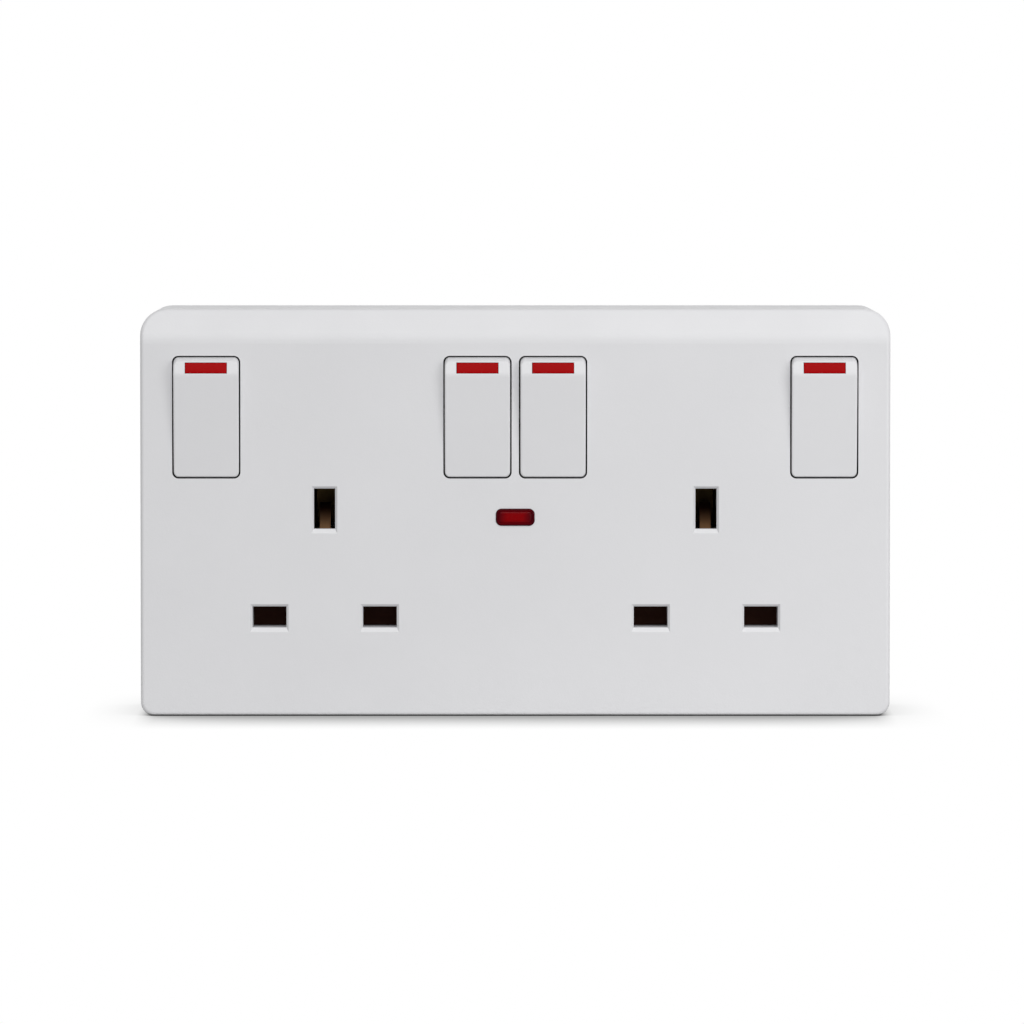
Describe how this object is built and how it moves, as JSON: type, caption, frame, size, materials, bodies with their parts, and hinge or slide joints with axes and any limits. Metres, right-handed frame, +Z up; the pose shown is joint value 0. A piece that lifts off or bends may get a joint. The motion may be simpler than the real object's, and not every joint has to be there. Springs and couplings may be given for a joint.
{
  "type": "extension socket",
  "caption": "Free-standing twin switched mains extension socket with flat-pin apertures, shutters, tilting rocker switches and a neon window, in a white two-shell housing.",
  "frame": {"origin": "middle of the flat base the socket stands on, half way through its whole depth", "axes": "+Z up, front with the pin apertures and switches towards -Y, +X to the right seen from the front"},
  "size_m": [0.152, 0.0356, 0.0826],
  "materials": {
    "cover_plastic": "white moulded plastic, satin gloss",
    "box_plastic": "white moulded plastic, satin gloss",
    "rocker_plastic": "white moulded plastic, satin gloss",
    "carrier_plastic": "off-white moulded plastic, matt",
    "clamp_plastic": "off-white moulded plastic, matt",
    "shutter_brown": "dark brown moulded plastic",
    "window_red": "red moulded plastic, glossy",
    "lens_red": "dark red clear plastic, glossy",
    "grommet_rubber": "pale grey rubber",
    "contact_brass": "stamped brass, bright",
    "screw_steel": "zinc plated steel",
    "spring_steel": "spring wire",
    "lamp_glass": "clear glass capsule",
    "resistor_body": "lacquered",
    "tinned_wire": "tinned wire"
  },
  "bodies": {
    "housing": {"back_box": "box_plastic", "cable_grommet": "grommet_rubber", "carrier_screws": "screw_steel", "clamp_screws": "screw_steel", "contact_carrier": "carrier_plastic", "cord_clamp": "clamp_plastic", "cover_screws": "screw_steel", "earth_bar": "contact_brass", "earth_contact_left": "contact_brass", "earth_contact_right": "contact_brass", "earth_terminal": "contact_brass", "front_cover": "cover_plastic", "line_busbar": "contact_brass", "line_terminal": "contact_brass", "neon_lamp": "lamp_glass", "neon_leads": "tinned_wire", "neon_lens": "lens_red", "neon_resistor": "resistor_body", "neutral_busbar": "contact_brass", "neutral_terminal": "contact_brass", "pin_contact_far_left": "contact_brass", "pin_contact_far_right": "contact_brass", "pin_contact_mid_left": "contact_brass", "pin_contact_mid_right": "contact_brass", "shutter_spring_left": "spring_steel", "shutter_spring_right": "spring_steel", "terminal_screws": "screw_steel"},
    "switch_far_left": {"rocker_far_left": "rocker_plastic", "rocker_window_far_left": "window_red", "plunger_far_left": "carrier_plastic", "plunger_spring_far_left": "spring_steel"},
    "contact_far_left": {"moving_contact_far_left": "contact_brass"},
    "switch_mid_left": {"rocker_mid_left": "rocker_plastic", "rocker_window_mid_left": "window_red", "plunger_mid_left": "carrier_plastic", "plunger_spring_mid_left": "spring_steel"},
    "contact_mid_left": {"moving_contact_mid_left": "contact_brass"},
    "switch_mid_right": {"rocker_mid_right": "rocker_plastic", "rocker_window_mid_right": "window_red", "plunger_mid_right": "carrier_plastic", "plunger_spring_mid_right": "spring_steel"},
    "contact_mid_right": {"moving_contact_mid_right": "contact_brass"},
    "switch_far_right": {"rocker_far_right": "rocker_plastic", "rocker_window_far_right": "window_red", "plunger_far_right": "carrier_plastic", "plunger_spring_far_right": "spring_steel"},
    "contact_far_right": {"moving_contact_far_right": "contact_brass"},
    "shutter_left_body": {"shutter_left": "shutter_brown"},
    "shutter_right_body": {"shutter_right": "shutter_brown"}
  },
  "joints": [
    {"name": "rocker_far_left_tilt", "type": "hinge", "parent": "housing", "child": "switch_far_left", "pos_m": [-0.06265, -0.0107, 0.0607], "axis": [-1, 0, 0], "range_deg": [0, 12]},
    {"name": "contact_far_left_rock", "type": "hinge", "parent": "housing", "child": "contact_far_left", "pos_m": [-0.06265, 0.0003, 0.0607], "axis": [1, 0, 0], "range_deg": [0, 12]},
    {"name": "rocker_mid_left_tilt", "type": "hinge", "parent": "housing", "child": "switch_mid_left", "pos_m": [-0.00766, -0.0107, 0.0607], "axis": [-1, 0, 0], "range_deg": [0, 12]},
    {"name": "contact_mid_left_rock", "type": "hinge", "parent": "housing", "child": "contact_mid_left", "pos_m": [-0.00766, 0.0003, 0.0607], "axis": [1, 0, 0], "range_deg": [0, 12]},
    {"name": "rocker_mid_right_tilt", "type": "hinge", "parent": "housing", "child": "switch_mid_right", "pos_m": [0.00766, -0.0107, 0.0607], "axis": [-1, 0, 0], "range_deg": [0, 12]},
    {"name": "contact_mid_right_rock", "type": "hinge", "parent": "housing", "child": "contact_mid_right", "pos_m": [0.00766, 0.0003, 0.0607], "axis": [1, 0, 0], "range_deg": [0, 12]},
    {"name": "rocker_far_right_tilt", "type": "hinge", "parent": "housing", "child": "switch_far_right", "pos_m": [0.06265, -0.0107, 0.0607], "axis": [-1, 0, 0], "range_deg": [0, 12]},
    {"name": "contact_far_right_rock", "type": "hinge", "parent": "housing", "child": "contact_far_right", "pos_m": [0.06265, 0.0003, 0.0607], "axis": [1, 0, 0], "range_deg": [0, 12]},
    {"name": "shutter_left_drop", "type": "slide", "parent": "housing", "child": "shutter_left_body", "axis": [0, 0, -1], "range_m": [0, 0.0053], "stiffness_N_per_m": 150, "springref_m": -0.004, "deforming": ["shutter_spring_left"]},
    {"name": "shutter_right_drop", "type": "slide", "parent": "housing", "child": "shutter_right_body", "axis": [0, 0, -1], "range_m": [0, 0.0053], "stiffness_N_per_m": 150, "springref_m": -0.004, "deforming": ["shutter_spring_right"]}
  ],
  "couplings": [
    {"joint": "contact_far_left_rock", "follows": "rocker_far_left_tilt", "ratio": 1},
    {"joint": "contact_mid_left_rock", "follows": "rocker_mid_left_tilt", "ratio": 1},
    {"joint": "contact_mid_right_rock", "follows": "rocker_mid_right_tilt", "ratio": 1},
    {"joint": "contact_far_right_rock", "follows": "rocker_far_right_tilt", "ratio": 1}
  ]
}
